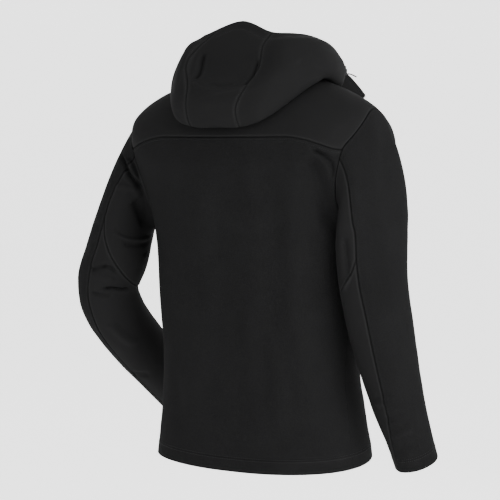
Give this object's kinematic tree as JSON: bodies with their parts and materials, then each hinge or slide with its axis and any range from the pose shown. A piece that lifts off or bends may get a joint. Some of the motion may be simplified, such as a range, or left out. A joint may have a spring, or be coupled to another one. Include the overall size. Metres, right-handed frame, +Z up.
{
  "type": "softshell jacket",
  "caption": "Hooded softshell jacket in its worn form, open at the chest, with knit-faced body and upper sleeves, smooth yoke and under-sleeves, hood lying on the back.",
  "frame": {"origin": "middle of the back neck seam, where the wearer holds the jacket up", "axes": "+Z up, +X towards the wearer's left, front of the jacket towards -Y"},
  "size_m": [0.6839, 0.356, 0.803],
  "materials": {
    "knit_fleece": "matte knitted face, black melange",
    "softshell": "smooth matte softshell, black",
    "zip_tape": "woven tape, black",
    "zip_teeth": "moulded, black",
    "zip_metal": "satin black",
    "cord": "braided elastic, dark grey",
    "cord_lock": "moulded, black"
  },
  "bodies": {
    "jacket": {"yoke": "softshell", "back_panel": "knit_fleece", "front_left": "knit_fleece", "front_right": "knit_fleece", "sleeve_top_left": "knit_fleece", "sleeve_top_right": "knit_fleece", "sleeve_under_left": "softshell", "sleeve_under_right": "softshell", "sleeve_forearm_left": "softshell", "sleeve_forearm_right": "softshell", "collar": "softshell", "hood_centre": "softshell", "hood_left": "softshell", "hood_right": "softshell", "zip_tape_left": "zip_tape", "zip_tape_right": "zip_tape", "zip_teeth_left": "zip_teeth", "zip_teeth_right": "zip_teeth", "zip_chain": "zip_teeth", "zip_slider": "zip_metal", "cord_lock_left": "cord_lock", "cord_lock_right": "cord_lock", "hood_cord_left": "cord", "hood_cord_right": "cord"},
    "pull": {"zip_tab": "zip_metal"}
  },
  "joints": [
    {"name": "tab_hinge", "type": "hinge", "parent": "jacket", "child": "pull", "pos_m": [0, -0.16071, -0.3045], "axis": [1, 0, 0], "range_deg": [-95, 0]}
  ]
}
